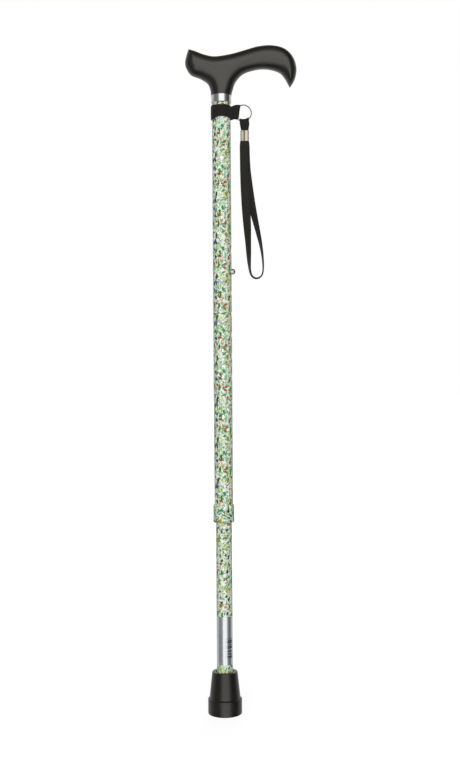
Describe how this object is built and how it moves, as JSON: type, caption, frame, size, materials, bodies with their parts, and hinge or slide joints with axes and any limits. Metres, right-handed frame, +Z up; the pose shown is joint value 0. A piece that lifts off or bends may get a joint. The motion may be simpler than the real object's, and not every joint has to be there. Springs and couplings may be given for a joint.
{
  "type": "walking cane",
  "caption": "Walking cane with adjustable height: a derby handle, printed telescoping tubes with a snap button and a locking collar, a rubber ferrule and a wrist strap.",
  "frame": {"origin": "middle of the ferrule's tread on the ground, on the tubes' axis", "axes": "+Z up along the tubes, +X towards the handle's beak, the snap button and the wrist strap"},
  "size_m": [0.1323, 0.0402, 0.792],
  "materials": {
    "handle_plastic": "satin black",
    "polished_metal": "polished",
    "printed_tube": "small floral print under clear gloss",
    "printed_collar": "larger floral print under clear gloss",
    "white_plastic": "moulded nylon",
    "spring_steel": "bright rolled steel",
    "silver_foil": "bright foil with plain printed bars",
    "black_rubber": "moulded rubber",
    "black_webbing": "ribbed webbing",
    "black_thread": "waxed thread",
    "ring_steel": "nickel plated wire",
    "crimp_metal": "warm nickel plate",
    "black_braid": "flat braided cord"
  },
  "bodies": {
    "upper_shaft": {"handle": "handle_plastic", "neck_collar": "polished_metal", "outer_tube": "printed_tube", "threaded_collet": "white_plastic"},
    "lower_shaft": {"lower_tube": "printed_tube", "guide_bush": "white_plastic", "button_spring": "spring_steel", "foil_label": "silver_foil", "ferrule": "black_rubber", "ferrule_washer": "spring_steel"},
    "button": {"snap_button": "polished_metal"},
    "clamp": {"clamp_ring": "white_plastic"},
    "collar": {"locking_collar": "printed_collar"},
    "band": {"shaft_band": "black_webbing", "band_stitches": "black_thread"},
    "ring": {"split_ring": "ring_steel"},
    "strap": {"strap_eye": "black_webbing", "strap_crimp": "crimp_metal", "wrist_strap": "black_braid"}
  },
  "joints": [
    {"name": "height_slide", "type": "slide", "parent": "upper_shaft", "child": "lower_shaft", "axis": [0, 0, 1], "range_m": [-0.125, 0.025]},
    {"name": "button_press", "type": "slide", "parent": "lower_shaft", "child": "button", "axis": [-1, 0, 0], "range_m": [0, 0.0061], "stiffness_N_per_m": 1500, "springref_m": -0.002, "deforming": ["button_spring"]},
    {"name": "clamp_travel", "type": "slide", "parent": "upper_shaft", "child": "clamp", "axis": [0, 0, -1], "range_m": [0, 0.002]},
    {"name": "collar_turn", "type": "hinge", "parent": "clamp", "child": "collar", "pos_m": [0, 0, 0.237], "axis": [0, 0, 1], "range_deg": [0, 720]},
    {"name": "band_turn", "type": "hinge", "parent": "upper_shaft", "child": "band", "pos_m": [0, 0, 0.7138], "axis": [0, 0, 1], "continuous": true},
    {"name": "ring_turn", "type": "hinge", "parent": "band", "child": "ring", "pos_m": [0.0261, 0, 0.7122], "axis": [0, 1, 0], "range_deg": [-75, 3.5]},
    {"name": "strap_swing", "type": "hinge", "parent": "ring", "child": "strap", "pos_m": [0.0273, 0, 0.70385], "axis": [1, 0, 0], "range_deg": [-60, 60]}
  ],
  "couplings": [
    {"joint": "clamp_travel", "follows": "collar_turn", "m_per_rad": 0.000159}
  ]
}
